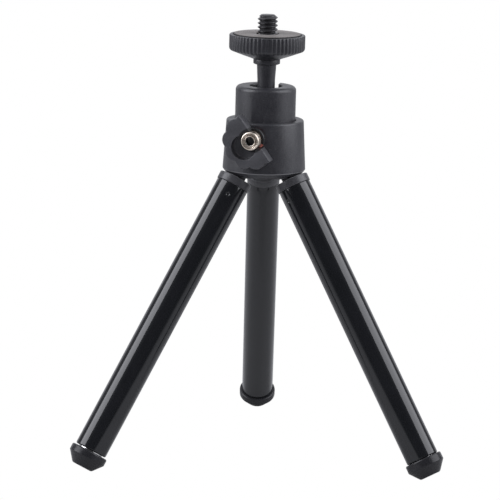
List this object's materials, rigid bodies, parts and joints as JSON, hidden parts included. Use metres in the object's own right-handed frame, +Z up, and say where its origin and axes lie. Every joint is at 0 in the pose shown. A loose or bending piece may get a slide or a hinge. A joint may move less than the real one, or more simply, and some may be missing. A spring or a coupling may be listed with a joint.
{
  "type": "mini tripod",
  "caption": "Desktop tripod with folding, telescoping legs and a lockable ball head that ends in a quarter-inch camera screw with a knurled wheel.",
  "frame": {"origin": "on the floor, under the middle of the box round the spread tripod", "axes": "+Z up along the tripod's axis, +Y towards the leg behind the clamp wing, +X to the right seen from the clamp side"},
  "size_m": [0.1162, 0.1024, 0.1407],
  "materials": {
    "black_plastic": "matte, very dark grey",
    "satin_plastic": "satin black",
    "black_tube": "gloss black coated tube",
    "black_steel": "black oxide",
    "bright_steel": "turned, bright",
    "bright_tube": "bright drawn tube",
    "brass": "turned",
    "rubber": "matt",
    "red_fibre": "pressed fibre"
  },
  "bodies": {
    "hub": {"leg_hub": "black_plastic", "hinge_pin_1": "bright_steel", "hinge_pin_2": "bright_steel", "hinge_pin_3": "bright_steel"},
    "head": {"head_collar": "black_plastic", "head_socket": "black_plastic", "ball_cup": "satin_plastic", "thread_insert": "brass", "clamp_washer": "red_fibre", "pivot_screw": "bright_steel", "pivot_washer": "bright_steel"},
    "ball": {"ball_stem": "black_plastic", "camera_screw": "black_steel"},
    "wheel": {"lock_wheel": "black_plastic", "wheel_pad": "rubber"},
    "clamp": {"clamp_screw": "bright_steel", "clamp_wing": "satin_plastic"},
    "leg_1": {"leg_cap_1": "satin_plastic", "outer_tube_1": "black_tube"},
    "foot_1": {"inner_tube_1": "bright_tube", "guide_bush_1": "satin_plastic", "foot_cap_1": "satin_plastic"},
    "leg_2": {"leg_cap_2": "satin_plastic", "outer_tube_2": "black_tube"},
    "foot_2": {"inner_tube_2": "bright_tube", "guide_bush_2": "satin_plastic", "foot_cap_2": "satin_plastic"},
    "leg_3": {"leg_cap_3": "satin_plastic", "outer_tube_3": "black_tube"},
    "foot_3": {"inner_tube_3": "bright_tube", "guide_bush_3": "satin_plastic", "foot_cap_3": "satin_plastic"}
  },
  "joints": [
    {"name": "head_pan", "type": "hinge", "parent": "hub", "child": "head", "pos_m": [0, -0.01493, 0.09265], "axis": [0, 0, 1], "continuous": true},
    {"name": "ball_tilt", "type": "hinge", "parent": "head", "child": "ball", "pos_m": [0, -0.01493, 0.11165], "axis": [-0.9848, 0.1736, 0], "range_deg": [-18, 90]},
    {"name": "wheel_spin", "type": "hinge", "parent": "ball", "child": "wheel", "pos_m": [0, -0.01493, 0.13445], "axis": [0, 0, 1], "continuous": true},
    {"name": "clamp_turn", "type": "hinge", "parent": "head", "child": "clamp", "pos_m": [-0.00388, -0.02941, 0.10315], "axis": [-0.2588, -0.9659, 0], "range_deg": [0, 360]},
    {"name": "leg_fold_1", "type": "hinge", "parent": "hub", "child": "leg_1", "pos_m": [0, -0.00692, 0.09265], "axis": [-1, 0, 0], "range_deg": [0, 31]},
    {"name": "leg_extend_1", "type": "slide", "parent": "leg_1", "child": "foot_1", "axis": [0, 0.515, -0.8572], "range_m": [0, 0.0689]},
    {"name": "leg_fold_2", "type": "hinge", "parent": "hub", "child": "leg_2", "pos_m": [-0.00693, -0.01893, 0.09265], "axis": [0.5, -0.866, 0], "range_deg": [0, 31]},
    {"name": "leg_extend_2", "type": "slide", "parent": "leg_2", "child": "foot_2", "axis": [-0.446, -0.2575, -0.8572], "range_m": [0, 0.0689]},
    {"name": "leg_fold_3", "type": "hinge", "parent": "hub", "child": "leg_3", "pos_m": [0.00693, -0.01893, 0.09265], "axis": [0.5, 0.866, 0], "range_deg": [0, 31]},
    {"name": "leg_extend_3", "type": "slide", "parent": "leg_3", "child": "foot_3", "axis": [0.446, -0.2575, -0.8572], "range_m": [0, 0.0689]}
  ]
}
